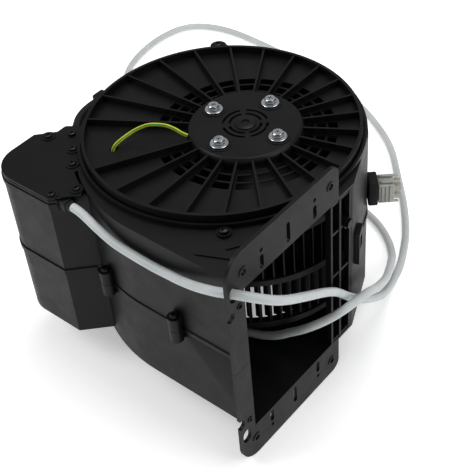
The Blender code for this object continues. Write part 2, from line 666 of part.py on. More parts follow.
inner = MOTOR_RADIUS - MOTOR_SHEET
motor_cover = turned_solid("motor_shield_top", [
    (MOTOR_RADIUS, stator_high + GAP), (inner, stator_high + GAP), (inner, top_disc),
    (bearing_seat + 3, top_disc), (bearing_seat + 3, top_disc - BEARING_WIDTH - 1),
    (bearing_seat, top_disc - BEARING_WIDTH - 1), (bearing_seat, top_disc), (seat, top_disc),
    (seat, motor_top), (MOTOR_RADIUS, motor_top)], finish=MOTOR_STEEL)
motor_holes = screw_holes("motor_screw_holes", [polar(SCREW_CIRCLE, a) for a in range(0, 360, 90)],
                          top_disc - 3, motor_top + 3)
combine(motor_cover, motor_holes, "DIFFERENCE")
turned_solid("motor_shield_bottom", [
    (MOTOR_RADIUS, stator_low - GAP), (MOTOR_RADIUS, bottom_disc), (seat, bottom_disc), (seat, bottom_disc + 3),
    (bearing_seat, bottom_disc + 3), (bearing_seat, bottom_disc + 4 + BEARING_WIDTH),
    (bearing_seat + 3, bottom_disc + 4 + BEARING_WIDTH), (bearing_seat + 3, bottom_disc + 3),
    (inner, bottom_disc + 3), (inner, stator_low - GAP)], finish=MOTOR_STEEL)

# ---- stand ring with the lower inlet

stand_top = CASING_BOTTOM - GAP
inlet_stand = turned_solid("inlet_stand_ring", [
    (STAND_RADIUS, 0), (STAND_RADIUS, stand_top), (INLET_RADIUS + WALL, stand_top),
    (INLET_RADIUS + WALL, stand_top + INLET_LIP + WALL), (INLET_RADIUS, stand_top + INLET_LIP + WALL),
    (INLET_RADIUS, stand_top - WALL), (STAND_RADIUS - WALL, stand_top - WALL), (STAND_RADIUS - WALL, 0)],
    finish=BLACK_PLASTIC, steps=48)
stand_windows = bmesh.new()
half_window = (2 * math.pi * STAND_RADIUS / STAND_WINDOWS - STAND_POST) / 2
for i in range(STAND_WINDOWS):
    turn = Matrix.Rotation(2 * math.pi * (i + 0.5) / STAND_WINDOWS, 4, "Z")
    block(stand_windows, (STAND_RADIUS - 12, -half_window, STAND_FOOT),
          (STAND_RADIUS + 8, half_window, stand_top - WALL - 2), turn)
combine(inlet_stand, mesh_object("stand_windows", stand_windows, cutters), "DIFFERENCE")

# ---- guard in the outlet, beside the tongue

guard_low = CASING_BOTTOM + WALL + GAP
guard_high = CASING_TOP - WALL - GAP
guard_right = TONGUE_Y - WALL - GAP
guard = bmesh.new()
block(guard, (98, guard_right - 3, guard_low), (OUTLET_X, guard_right, guard_high))
outlet_guard = mesh_object("outlet_guard", guard, finish=BLACK_PLASTIC)
guard_bars = bmesh.new()
for y in (-30, -19):
    block(guard_bars, (98, y - 1.2, guard_low), (OUTLET_X, y + 1.2, guard_high))
guard_rails = bmesh.new()
for z in (guard_low + 1.2, MID_HEIGHT, 153, guard_high - 1.2):
    block(guard_rails, (98.5, -31, z - 1.2), (OUTLET_X - 0.5, guard_right - 1, z + 1.2))
guard_eye = flat_solid("guard_eye", [circle(-9.5, 153, 5, 16)], 97, OUTLET_X + 0.5, cutters, turn=ACROSS)
guard_hole = flat_solid("guard_hole", [circle(-9.5, 153, HOLE_RADIUS, 10)], 90, OUTLET_X + 5, cutters, turn=ACROSS)
combine(outlet_guard, mesh_object("guard_rails", guard_rails, cutters), "UNION")
combine(outlet_guard, mesh_object("guard_bars", guard_bars, cutters), "UNION")
combine(outlet_guard, guard_eye, "UNION")
combine(outlet_guard, guard_hole, "DIFFERENCE")
guard_screw = screw_solid("guard_screw", 0, 0, 0, 4.0, 2.2, -9, 8)
guard_screw.location = ((OUTLET_X + 0.5 + GAP) * MM, -9.5 * MM, 153 * MM)
guard_screw.rotation_euler = (0, math.radians(90), 0)

# ---- clip over the seam and the plug on the side wall

wall_start = Vector(polar(scroll_radius(SCROLL_START), SCROLL_START))
wall_run = (Vector((OUTLET_X, TONGUE_Y)) - wall_start).normalized()
clip_middle = wall_start + wall_run * 47
clip_turn = Matrix.Translation((clip_middle.x * MM, clip_middle.y * MM, 0))
clip_turn = clip_turn @ Matrix.Rotation(math.atan2(wall_run.y, wall_run.x) + math.pi / 2, 4, "Z")
clip = bmesh.new()
block(clip, (GAP, -7, MID_HEIGHT - 10), (4.3, 7, MID_HEIGHT + 22), clip_turn)
casing_clip = mesh_object("casing_clip", clip, finish=BLACK_PLASTIC)
clip_window = bmesh.new()
block(clip_window, (-3, -3.5, MID_HEIGHT + 4), (8, 3.5, MID_HEIGHT + 16), clip_turn)
combine(casing_clip, mesh_object("clip_window", clip_window, cutters), "DIFFERENCE")

PLUG_ANGLE = 40.0
PLUG_HEIGHT = 122.0
plug_turn = Matrix.Rotation(math.radians(PLUG_ANGLE), 4, "Z")
holder_inner = scroll_radius(PLUG_ANGLE) + 2 * GAP
holder = bmesh.new()
block(holder, (holder_inner, -9, PLUG_HEIGHT - 11), (holder_inner + 8.2, 9, PLUG_HEIGHT + 12), plug_turn)
mesh_object("plug_holder", holder, finish=BLACK_PLASTIC)
plug_start = holder_inner + 8.2 + GAP
plug = bmesh.new()
block(plug, (plug_start, -8, PLUG_HEIGHT - 9), (plug_start + 13, 8, PLUG_HEIGHT + 9), plug_turn)
plug_body = mesh_object("motor_plug", plug, finish=WHITE_NYLON)
prongs = bmesh.new()
block(prongs, (plug_start + 10, -6.5, PLUG_HEIGHT - 6), (plug_start + 19, -1, PLUG_HEIGHT + 6), plug_turn)
block(prongs, (plug_start + 10, 1, PLUG_HEIGHT - 6), (plug_start + 19, 6.5, PLUG_HEIGHT + 6), plug_turn)
block(prongs, (plug_start + 3, -3, PLUG_HEIGHT + 8), (plug_start + 15, 3, PLUG_HEIGHT + 11), plug_turn)
combine(plug_body, mesh_object("plug_prongs", prongs, cutters), "UNION")

# ---- inside the electronics box

box_floor = BOX_FLOOR + WALL + GAP
can = bmesh.new()
cylinder(can, -122, -118, 15, box_floor, box_floor + 66, 32)
mesh_object("run_capacitor", can, finish=CAN)
board = bmesh.new()
block(board, (-112, -137.6, box_floor), (-87, -136, BOX_TOP - 22))
mesh_object("control_board", board, finish=BOARD)
strip = bmesh.new()
block(strip, (-98, -135.7, BOX_TOP - 52), (-88, -125, BOX_TOP - 34))
mesh_object("terminal_block", strip, finish=WHITE_NYLON)
gland = bmesh.new()
block(gland, (-74, GLAND_Y - 4.5, GLAND_HEIGHT - 4.5), (-62.5, GLAND_Y + 4.5, GLAND_HEIGHT + 4.5))
mesh_object("cable_gland", gland, finish=BLACK_PLASTIC)

# ---- wires the casing holds

tube("wire_sleeve", [(-127.5, -64.5, DUCT_HEIGHT), (-131.5, -59, DUCT_HEIGHT), (-136, -52, DUCT_HEIGHT),
                     (-139.3, -43, DUCT_HEIGHT), (-140.3, -35, DUCT_HEIGHT), (-140.3, DUCT_Y - GAP, DUCT_HEIGHT)],
     SLEEVE_DIAMETER, SLEEVING, 14)
tube("brown_wire", [(-122.6, -61.2, DUCT_HEIGHT), (-126, -56.2, DUCT_HEIGHT), (-129.4, -50, DUCT_HEIGHT),
                    (-132, -42, DUCT_HEIGHT), (-133.6, -34, DUCT_HEIGHT), (-134.2, DUCT_Y - GAP, DUCT_HEIGHT)],
     WIRE_DIAMETER, BROWN_WIRE, 12)
tube("earth_wire", [(-71, -77.5, PLATE_FLOOR - 5), (-71, -77, PLATE_FLOOR), (-69.5, -72.5, PLATE_FLOOR + 4.5),
                    (-66, -59, PLATE_FLOOR + 8), (-60, -50.5, PLATE_FLOOR + 11), (-54, -46, PLATE_FLOOR + 12),
                    (-46, -41.5, PLATE_FLOOR + 11.5), (-39, -39, PLATE_FLOOR + 9.5), (-34, -37.5, PLATE_FLOOR + 7),
                    (-30, -35, PLATE_FLOOR + 4.5)], WIRE_DIAMETER, EARTH_WIRE, 26)

# ---- mains cable: out of the box, along the front, through the flange, round the table and into the outlet

CABLE_ROUTE = [
    (-61.8, -133.5, 175.5), (-54, -134, 175.1), (-45, -135, 173.3), (-32, -136.8, 170.5), (-12, -138.6, 167),
    (19.5, -138.8, 165), (39, -139.5, 166.5), (55, -141.3, 170), (70, -143.5, 175.5), (86, -144.9, 182),
    (94, -144.3, 184.6), (101.5, -142.3, 186), (110, -138.4, 185.6), (118, -132.2, 182.8), (123, -124.4, 177.8),
    (124.4, -115.7, 171.5), (124, -105, 163.5), (122, -85, 148.5), (118.5, -65, 132.5), (113.5, -45, 114),
    (109.3, -30, 98), (107.4, -15, 80.5), (106.7, 8, 57), (102, 36, 33), (98, 53, 20), (92, 74, 9),
    (88, 88, 4.6), (83, 106, 3.8), (73, 129, 3.8), (61, 151, 3.8), (39, 182, 3.8), (12, 214, 3.8), (-17, 247, 3.8),
    (-46, 270, 3.8), (-86, 293, 3.8), (-135, 312, 3.8), (-195, 326, 3.8), (-254, 334, 3.8), (-308, 336, 3.8),
    (-344, 326, 3.8), (-362, 308, 3.8), (-369, 280, 3.8), (-368, 250, 3.8), (-361, 220, 3.8), (-349, 196, 3.8),
    (-330, 176, 3.8), (-304, 165, 3.8), (-275, 160, 3.8), (-240, 163, 3.8), (-200, 170, 3.8), (-136, 177, 3.8),
    (-66, 170, 3.8), (-7, 157, 3.8), (30, 145, 3.8), (54, 130, 3.8), (69, 114, 5), (78.5, 97, 11.5),
    (87, 80, 21), (95.5, 63.5, 32.5), (102, 48, 43), (107.3, 32.5, 53.6), (111, 19, 62.5), (113.8, 7.7, 71),
    (115.9, -2.5, 77), (117.1, -12, 81.5), (117, -21.5, 83.6), (115, -30.7, 83), (110.8, -39, 80),
    (104.9, -45.6, 75.7), (98, -50.6, 70.5), (90, -54.2, 64.5), (81, -56.5, 58), (70, -59.5, 50), (57.5, -61.8, 44),
    (45, -64, 41), (33.5, -67.4, 39.2), (20, -72, 38.4), (5, -77, 38.4), (-12, -80, 38.4)]
tube("mains_cable", CABLE_ROUTE, CABLE_DIAMETER, CABLE_SHEATH, 96)
end = bmesh.new()
block(end, (-42, -86, CASING_BOTTOM + WALL + GAP), (-13, -74.5, CASING_BOTTOM + WALL + 10))
mesh_object("cable_connector", end, finish=WHITE_NYLON)
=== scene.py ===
import math
import bmesh
import bpy
from mathutils import Matrix, Vector


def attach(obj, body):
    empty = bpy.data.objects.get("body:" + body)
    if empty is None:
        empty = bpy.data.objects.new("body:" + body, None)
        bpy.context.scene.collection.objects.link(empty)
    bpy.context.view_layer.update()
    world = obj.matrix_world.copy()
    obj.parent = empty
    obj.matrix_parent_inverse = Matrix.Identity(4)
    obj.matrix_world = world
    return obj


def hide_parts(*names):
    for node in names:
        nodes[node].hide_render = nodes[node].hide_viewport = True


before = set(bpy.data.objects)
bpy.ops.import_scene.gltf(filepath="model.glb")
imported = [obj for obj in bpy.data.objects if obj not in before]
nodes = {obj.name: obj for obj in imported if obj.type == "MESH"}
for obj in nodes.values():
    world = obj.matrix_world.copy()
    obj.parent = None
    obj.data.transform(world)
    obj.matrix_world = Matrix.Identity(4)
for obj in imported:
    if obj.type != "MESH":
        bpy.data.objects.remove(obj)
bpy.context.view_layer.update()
print("frame loaded")

mm = 0.001
# pieces are shaped in millimetres round the fan axis, which stands here in the row frame
fanAxis = Vector((22.0, 19.965, 0.0))
toFrame = Matrix.Scale(mm, 4) @ Matrix.Translation(fanAxis)


# ---- small tools

def fromHex(code):  # sRGB hex to the linear colour that the nodes want
    parts = [int(code[i:i + 2], 16) / 255 for i in (0, 2, 4)]
    return [c / 12.92 if c <= 0.04045 else ((c + 0.055) / 1.055) ** 2.4 for c in parts] + [1.0]


def addNode(material, kind, settings=None, links=None):
    node = material.node_tree.nodes.new(kind)
    for name, value in (settings or {}).items():
        if isinstance(name, int) or name in node.inputs:
            node.inputs[name].default_value = value
        else:
            setattr(node, name, value)
    for name, source in (links or {}).items():
        material.node_tree.links.new(source, node.inputs[name])
    return node


def polar(radius, angle, x=0.0, y=0.0):
    turn = math.radians(angle)
    return (x + radius * math.cos(turn), y + radius * math.sin(turn))


def arc(x, y, radius, start, end, steps):
    return [polar(radius, start + (end - start) * i / steps, x, y) for i in range(steps + 1)]


def circle(x, y, radius, steps=40):
    return arc(x, y, radius, 0, 360, steps)[:-1]


def slot(x, y, width, length):  # runs along the second axis
    reach = (length - width) / 2
    return arc(x, y + reach, width / 2, 0, 180, 10) + arc(x, y - reach, width / 2, 180, 360, 10)


def sector(inner, outer, start, end, steps=6):
    return arc(0, 0, outer, start, end, steps) + arc(0, 0, inner, end, start, steps)


def inset(points, distance):  # moves every side of an outline inwards
    result = []
    for i, point in enumerate(points):
        here = Vector(point)
        before = (here - Vector(points[i - 1])).normalized()
        after = (Vector(points[(i + 1) % len(points)]) - here).normalized()
        normalA, normalB = Vector((-before.y, before.x)), Vector((-after.y, after.x))
        result.append(tuple(here + (normalA + normalB) / (1 + normalA.dot(normalB)) * distance))
    return result


# stands a flat shape up: drawn as (y, z), with its thickness along X
across = Matrix(((0, 0, 1, 0), (1, 0, 0, 0), (0, 1, 0, 0), (0, 0, 0, 1)))


def meshOf(thing):  # the evaluated mesh of a temporary object, which is then removed
    bpy.context.scene.collection.objects.link(thing)
    bpy.context.view_layer.update()
    mesh = bpy.data.meshes.new_from_object(thing.evaluated_get(bpy.context.evaluated_depsgraph_get()))
    data = thing.data
    bpy.data.objects.remove(thing, do_unlink=True)
    (bpy.data.curves if isinstance(data, bpy.types.Curve) else bpy.data.meshes).remove(data)
    return mesh


def flatSolid(outlines, low, high, turn=Matrix.Identity(4)):
    curve = bpy.data.curves.new("outline", "CURVE")
    curve.dimensions, curve.fill_mode, curve.extrude = "2D", "BOTH", (high - low) / 2
    for points in outlines:
        spline = curve.splines.new("POLY")
        spline.points.add(len(points) - 1)
        spline.use_cyclic_u = True
        for target, (x, y) in zip(spline.points, points):
            target.co = (x, y, 0, 1)
    body = bmesh.new()
    body.from_mesh(meshOf(bpy.data.objects.new("outline", curve)))
    bmesh.ops.remove_doubles(body, verts=body.verts, dist=0.001)
    bmesh.ops.dissolve_limit(body, angle_limit=0.001, verts=body.verts, edges=body.edges)
    bmesh.ops.transform(body, verts=body.verts, matrix=turn @ Matrix.Translation((0, 0, (low + high) / 2)))
    bmesh.ops.recalc_face_normals(body, faces=body.faces)
    return body


def turned(profile, steps=96, x=0.0, y=0.0):  # spins a closed run of (radius, height) points
    body = bmesh.new()
    points = [body.verts.new((r, 0, z)) for r, z in profile]
    edges = [body.edges.new(pair) for pair in zip(points, points[1:] + points[:1])]
    bmesh.ops.spin(body, geom=points + edges, cent=(0, 0, 0), axis=(0, 0, 1), angle=2 * math.pi,
                   steps=steps, use_merge=True)
    bmesh.ops.remove_doubles(body, verts=body.verts, dist=0.0005)
    bmesh.ops.recalc_face_normals(body, faces=body.faces)
    bmesh.ops.translate(body, verts=body.verts, vec=(x, y, 0))
    return body


def ring(inner, outer, low, high, steps=96, x=0.0, y=0.0):
    return turned([(outer, low), (outer, high), (inner, high), (inner, low)], steps, x, y)


def rod(x, y, radius, low, high, sides=32, top=None):
    body = bmesh.new()
    bmesh.ops.create_cone(body, cap_ends=True, segments=sides, radius1=radius,
                          radius2=radius if top is None else top, depth=high - low,
                          matrix=Matrix.Translation((x, y, (low + high) / 2)))
    return body


def block(low, high, turn=Matrix.Identity(4), bevel=0.0):
    body = bmesh.new()
    bmesh.ops.create_cube(body, size=1)
    size = [b - a for a, b in zip(low, high)]
    bmesh.ops.scale(body, verts=body.verts, vec=size)
    if bevel:
        bmesh.ops.bevel(body, geom=body.edges[:], offset=bevel, segments=3, profile=0.5, affect="EDGES",
                        material=-1)
    middle = Vector([(a + b) / 2 for a, b in zip(low, high)])
    bmesh.ops.transform(body, verts=body.verts, matrix=turn @ Matrix.Translation(middle))
    return body


def joined(bodies):  # one bmesh out of several
    result = bmesh.new()
    for body in bodies:
        mesh = bpy.data.meshes.new("joined")
        body.to_mesh(mesh)
        body.free()
        result.from_mesh(mesh)
        bpy.data.meshes.remove(mesh)
    return result


def carve(body, other, operation):  # Boolean of two solids, both used up
    pair = []
    for solid in (body, other):
        mesh = bpy.data.meshes.new("solid")
        solid.to_mesh(mesh)
        solid.free()
        pair.append(bpy.data.objects.new("solid", mesh))
    bpy.context.scene.collection.objects.link(pair[1])
    modifier = pair[0].modifiers.new("carve", "BOOLEAN")
    modifier.operation, modifier.object, modifier.solver = operation, pair[1], "EXACT"
    mesh = meshOf(pair[0])
    bpy.data.objects.remove(pair[1], do_unlink=True)
    result = bmesh.new()
    result.from_mesh(mesh)
    bpy.data.meshes.remove(mesh)
    return result


def roundEdges(piece, width):
    edges = piece.modifiers.new("edges", "BEVEL")
    edges.width, edges.segments = width * mm, 2
    edges.limit_method, edges.angle_limit = "ANGLE", math.radians(40)
    return edges


def addPiece(name, body, material, rides="housing", bevel=0.0, sharp=35, replace=()):
    bmesh.ops.transform(body, verts=body.verts, matrix=toFrame)
    mesh = bpy.data.meshes.new(name)
    body.to_mesh(mesh)
    body.free()
    for each in material if isinstance(material, (list, tuple)) else [material]:
        mesh.materials.append(each)
    mesh.shade_smooth()
    mesh.set_sharp_from_angle(angle=math.radians(sharp))
    piece = bpy.data.objects.new(name, mesh)
    bpy.context.scene.collection.objects.link(piece)
    if bevel:
        roundEdges(piece, bevel).harden_normals = True
    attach(piece, rides)
    if replace:
        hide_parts(*replace)
    return piece


# ---- materials

def newMaterial(name, **settings):
    material = bpy.data.materials.new(name)
    material.use_nodes = True
    shader = material.node_tree.nodes["Principled BSDF"]
    for key, value in settings.items():
        shader.inputs[key.replace("_", " ")].default_value = value
    return material, shader


def setUneven(material, shader, shades, color, span, wear, roughness):
    # one pattern runs the colour between two shades, the other runs the roughness
    tint = addNode(material, "ShaderNodeValToRGB", links={"Fac": shades})
    for element, position, code in zip(tint.color_ramp.elements, span, color):
        element.position, element.color = position, fromHex(code)
    material.node_tree.links.new(tint.outputs["Color"], shader.inputs["Base Color"])
    limits = {"From Min": 0.3, "From Max": 0.7, "To Min": roughness[0], "To Max": roughness[1]}
    sheen = addNode(material, "ShaderNodeMapRange", limits, {"Value": wear})
    material.node_tree.links.new(sheen.outputs["Result"], shader.inputs["Roughness"])


# Moulded polypropylene, spark-eroded tool: near black, satin, with a fine grain and faint flow marks
def blackPolypropylene(name, color, roughness, grain):
    material, shader = newMaterial(name, IOR=1.49, Specular_IOR_Level=0.36)
    place = {"Vector": addNode(material, "ShaderNodeTexCoord").outputs["Object"]}
    # flow marks run over about 45 mm, handling marks over about 17 mm
    flow = addNode(material, "ShaderNodeTexNoise",
                   {"Scale": 1 / (45.5 * mm), "Detail": 4.0, "Roughness": 0.55}, place).outputs["Fac"]
    rubbed = addNode(material, "ShaderNodeTexNoise",
                     {"Scale": 1 / (16.7 * mm), "Detail": 6.0, "Roughness": 0.7}, place).outputs["Fac"]
    setUneven(material, shader, flow, color, (0.35, 0.75), rubbed, (roughness - 0.06, roughness + 0.08))
    # the real grain is about 0.1 mm; drawn at 0.7 mm so that it shows
    spark = addNode(material, "ShaderNodeTexNoise", {"Scale": 1 / (0.7 * mm), "Detail": 2.0}, place)
    bump = addNode(material, "ShaderNodeBump", {"Strength": grain, "Distance": 0.05 * mm},
                   {"Height": spark.outputs["Fac"]})
    material.node_tree.links.new(bump.outputs["Normal"], shader.inputs["Normal"])
    return material


def plainFinish(name, color, roughness, metallic, unevenness, patch, **settings):  # patch in millimetres
    material, shader = newMaterial(name, Metallic=metallic, **settings)
    place = {"Vector": addNode(material, "ShaderNodeTexCoord").outputs["Object"]}
    patches = addNode(material, "ShaderNodeTexNoise",
                      {"Scale": 1 / (patch * mm), "Detail": 5.0, "Roughness": 0.6}, place).outputs["Fac"]
    setUneven(material, shader, patches, color, (0.3, 0.7), patches,
              (roughness - unevenness, roughness + unevenness))
    return material


casingPlastic = blackPolypropylene("polypropyleneCasing", ("101011", "171719"), 0.42, 0.25)
# the plate comes from a smoother tool: a little brighter and glossier
platePlastic = blackPolypropylene("polypropylenePlate", ("121213", "1a1a1c"), 0.36, 0.2)
# the cage is a darker copy of the plastic, as painted shade because it lies in shade; it has the least grain
shadedCagePlastic = blackPolypropylene("polypropyleneImpellerPaintedShade", ("0e0e0f", "151516"), 0.45, 0.15)
# coarse spark texture: greyer and quite matt
textured = blackPolypropylene("polypropyleneTextured", ("1b1b1d", "29292b"), 0.6, 0.6)
# barrel plated zinc: bright and slightly cloudy
zincPlate = plainFinish("zincPlatedSteel", ("c4c8cc", "e2e4e6"), 0.24, 1.0, 0.08, 4.55)
# oiled black oxide: dark grey with a dull metal shine
darkScrew = plainFinish("blackenedScrew", ("2c2d2f", "4a4b4d"), 0.35, 1.0, 0.08, 3.33)
# turned and stamped steel: mid grey, evenly dull
motorSteel = plainFinish("machinedSteel", ("8d8f92", "a4a6a8"), 0.35, 1.0, 0.08, 6.67)
# pressed sheet steel, drawn dark grey and flat as painted shade, so that the vents over it look dark; no
# metal shine
shadedMotorShield = plainFinish("motorShieldPaintedShade", ("232425", "2f3032"), 0.5, 0.0, 0.06, 6.67)
# copper under clear enamel: brown with a narrow shine
copperWire = plainFinish("enamelledCopper", ("8a4a22", "a85f2e"), 0.35, 1.0, 0.06, 2.0)
# extruded soft PVC: off-white, soft shine, long faint shades along it
whitePvc = plainFinish("softPvcWhite", ("c0c5c6", "ccd0d1"), 0.42, 0.0, 0.05, 25.0,
                       Subsurface_Weight=0.05)
# moulded unfilled nylon: milky, lets a little light through
nylon = plainFinish("naturalNylon", ("bdbdb3", "cfcfc8"), 0.34, 0.0, 0.05, 8.33, Subsurface_Weight=0.1,
                    Transmission_Weight=0.25)
# soft insulating sleeve: black and matt
sleeving = plainFinish("blackSleeving", ("121212", "1c1c1c"), 0.65, 0.0, 0.05, 1.67)
# thin extruded PVC on the wires: plain colours with a soft shine
brownPvc = plainFinish("brownPvc", ("5a2c14", "6b3619"), 0.42, 0.0, 0.04, 5.0)
yellowPvc = plainFinish("yellowPvc", ("c9c026", "d8cf33"), 0.42, 0.0, 0.04, 5.0)
greenPvc = plainFinish("greenPvc", ("2f8a3c", "38994a"), 0.42, 0.0, 0.04, 5.0)
# solder mask on fibreglass: green, half gloss
boardGreen = plainFinish("solderMask", ("1e5a30", "28693a"), 0.4, 0.0, 0.05, 6.67)
# moulded capacitor can: warm white, half matt
canWhite = plainFinish("capacitorCan", ("c9c9c4", "d6d6d2"), 0.4, 0.0, 0.05, 10.0)
print("materials ready")

# ---- casing: a scroll in two halves with the electronics box and the eared flange

# small to large is the radius of the scroll, from the start angle to the full one; ears is the flange's top
casing = dict(top=186.0, bottom=32.0, middle=109.0, wall=2.5, small=95.5, large=134.5, start=33.0, full=190.0,
              outlet=103.0, flange=3.0, tongue=-1.5, gap=0.15, inlet=68.8, boxTop=180.0, boxFloor=36.0,
              ears=218.0, bossRadius=5.5, bossHeight=12)
plate = dict(x=-18.0, y=-8.0, radius=111.0, rim=2.7, top=196.0, floor=190.0, sheet=2.2, hub=44.3,
             hubTop=197.3, ribs=24, missing=19, first=150.2, ribStep=15, ribHalf=0.9, ventInner=46.5,
             ventOuter=72.0, ventStart=-13.1, ventEnd=-1.9, bar=1.8)
lidScrews = ((-121.0, -75.0), (-106.0, -88.8), (-92.6, -102.3), (-68.0, -122.0), (-135.0, -88.0),
             (-79.0, -138.0))
motorScrews = [polar(32, a) for a in range(0, 360, 90)]


def scrollRadius(angle):
    share = min(max((angle - casing["start"]) / (casing["full"] - casing["start"]), 0), 1)
    return casing["small"] + (casing["large"] - casing["small"]) * share * share * (3 - 2 * share)


def scrollOutline(end=casing["outlet"]):
    steps = 120
    points = [(casing["outlet"], casing["tongue"])]
    if end > casing["outlet"]:
        points.insert(0, (end, casing["tongue"]))
    for i in range(steps + 1):
        angle = casing["start"] + (270 - casing["start"]) * i / steps
        points.append(polar(scrollRadius(angle), angle))
    return points + [(end, -casing["large"])]


def boxEdge():
    points = [(-120, -60), (-134, -70), (-134, -79), (-147, -93)]
    points += arc(-121, -117, 26, 180, 270, 24)
    return points + [(-78, -143), (-60, -125)]


def boxOutline():
    return boxEdge() + [(-54, -119), polar(114.5, 245), polar(114.5, 207)]


def lidOutline():
    points = boxEdge() + arc(plate["x"], plate["y"], 120, 248, 236.5, 12)
    return points + arc(plate["x"], plate["y"], 115, 236, 208.5, 24)


def flangeHoles(lower):
    holes = [circle(-131.5, 19, 2.5, 24), circle(-31.5, 15, 2.5, 24)]
    holes += [circle(y, z, 1.7, 20) for y, z in ((-50.5, 14), (-111.5, 14.5), (-137.5, 47))]
    holes += [slot(y, 25, 4, 12) for y in (-50.5, -111.5)] + [slot(-81.5, 21, 4, 18), slot(-142.3, 32, 9, 14)]
    return holes if lower else [[(y, casing["ears"] - z) for y, z in hole][::-1] for hole in holes]


def flangeOutline(lower):
    left, right = -149.0, -21.0
    seam = casing["middle"] - casing["gap"]
    points = [(right, 33), (-133.5, 33), (-133.5, seam), (left, seam)]
    points += [(left, 55)] + arc(left + 0.5, 50, 5, 90, -90, 14)[1:-1] + [(left, 45)]
    points += arc(left + 20, 20, 20, 180, 270, 20) + arc(right - 9, 9, 9, 270, 360, 12)
    return points if lower else [(y, casing["ears"] - z) for y, z in points][::-1]


seamPlaces = [polar(scrollRadius(a) + 4, a) for a in (65, 150, 195, 253.3)] + [(37.0, -138.5)]
tabPlace, lugPlace = (-102.0, 88.5), (59.0, -99.0)


def casingHalf(lower):
    sign = -1 if lower else 1
    seam = casing["middle"] + sign * casing["gap"]
    end = casing["bottom"] if lower else casing["top"]
    body = flatSolid([scrollOutline()], *sorted((seam, end)))
    boxEnd = casing["boxFloor"] if lower else casing["boxTop"] + 1
    body = carve(body, flatSolid([boxOutline()], *sorted((seam, boxEnd))), "UNION")
    flange = flatSolid([flangeOutline(lower)], casing["outlet"] - casing["flange"], casing["outlet"], across)
    body = carve(body, flange, "UNION")
    bosses = [rod(x, y, casing["bossRadius"], *sorted((seam, seam + sign * casing["bossHeight"])))
              for x, y in seamPlaces]
    if not lower:  # the duct block that takes the wires, and the screw tab at the back
        bosses.append(block((-145, -28, 170), (-128, -16, 184), bevel=1.5))
        tab = arc(*tabPlace, 7, 49, 229, 16) + [polar(121, 146), polar(121, 132)]
        bosses.append(flatSolid([tab], 179, 186))
    for boss in bosses:
        body = carve(body, boss, "UNION")
    past = seam - sign * 5  # cutters start beyond the seam
    hollow = inset(scrollOutline(120), casing["wall"])
    body = carve(body, flatSolid([hollow], *sorted((past, end - sign * casing["wall"]))), "DIFFERENCE")
    inside = flatSolid([inset(boxOutline(), casing["wall"])], *sorted((past, 38.5 if lower else 190)))
    inside = carve(inside, flatSolid([inset(scrollOutline(), -0.3)], 0, casing["ears"]), "DIFFERENCE")
    body = carve(body, inside, "DIFFERENCE")
    holes = [rod(x, y, 3, *sorted((past, seam + sign * 20)), 24) for x, y in seamPlaces]
    for place in flangeHoles(lower):
        holes.append(flatSolid([place], casing["outlet"] - 8, casing["outlet"] + 5, across))
    if lower:  # pips on the shoulder, and the inlet in the floor
        for y in (-52, -69, -82, -96, -114):
            body = carve(body, rod(96.5, y, 1.1, 34, 35.6, 16, 0.7), "UNION")
        holes.append(rod(0, 0, casing["inlet"], 20, 45, 120))
        return carve(body, joined(holes), "DIFFERENCE")
    # the shelf under the lid's inner edge
    shelf = arc(plate["x"], plate["y"], 112.2, 206, 250, 24) + arc(0, 0, 133.5, 249, 207, 24)
    body = carve(body, flatSolid([shelf[::-1]], 177.5, 185.5), "UNION")
    # posts for the lid screws, four of them with a rib to the scroll wall
    for x, y in lidScrews:
        body = carve(body, rod(x, y, 4, 160, 181, 24), "UNION")
    for x, y in lidScrews[:4]:
        turn = Matrix.Rotation(math.atan2(y, x), 4, "Z")
        body = carve(body, block((133, -2, 162), (math.hypot(x, y) - 1, 2, 180.5), turn), "UNION")
    # the collar round the motor plate and the lug of its front screw
    body = carve(body, ring(112.2, 114.4, 185, 190, 160, plate["x"], plate["y"]), "UNION")
    body = carve(body, rod(*lugPlace, 5.5, 177, 188), "UNION")
    body = carve(body, flatSolid([inset(lidOutline(), -0.3)], 180, 191), "DIFFERENCE")
    holes += [rod(x, y, 3, 168, 185, 20) for x, y in lidScrews]
    holes += [rod(x, y, 3, 171, 192, 20) for x, y in (tabPlace, lugPlace)]
    body = carve(body, joined(holes), "DIFFERENCE")
    body = carve(body, rod(plate["x"], plate["y"], 105, 176, 192, 160), "DIFFERENCE")
    # shallow triangular pockets moulded into the shoulder by the flange
    for pocket in (((84, -129), (81, -116), (54, -128)), ((76, -103), (70, -112), (88, -108))):
        body = carve(body, flatSolid([pocket], 185, 188), "DIFFERENCE")
    # the seat of the cable gland
    return carve(body, block((-74.5, -138.3, 170.7), (-55, -128.7, 186)), "DIFFERENCE")


for name, lower, solid in (("casingUpper", False, "upper_casing"), ("casingLower", True, "lower_casing")):
    addPiece(name, casingHalf(lower), casingPlastic, bevel=0.7, replace=(solid,))
print("casing halves shaped")

# raised rims round the flange's round holes
for name, lower in (("flangeRimsUpper", False), ("flangeRimsLower", True)):
    rims = []
    for y, z, inner, outer in ((-131.5, 19, 2.5, 4.4), (-31.5, 15, 2.5, 4.2), (-137.5, 47, 1.7, 2.9)):
        height = z if lower else casing["ears"] - z
        rim = [circle(y, height, outer, 32), circle(y, height, inner, 32)]
        rims.append(flatSolid(rim, casing["outlet"] - 0.5, casing["outlet"] + 0.6, across))
    addPiece(name, joined(rims), casingPlastic, bevel=0.4)


# lips along the seam of the scroll, along the seam of the box and under the lid
def lipBand(outline, outwards, low, high):
    return flatSolid([inset(outline, -outwards), inset(outline, 0.6)], low, high)


def besideScroll(band, low, high):
    return carve(band, flatSolid([inset(scrollOutline(), -0.5)], low, high), "DIFFERENCE")


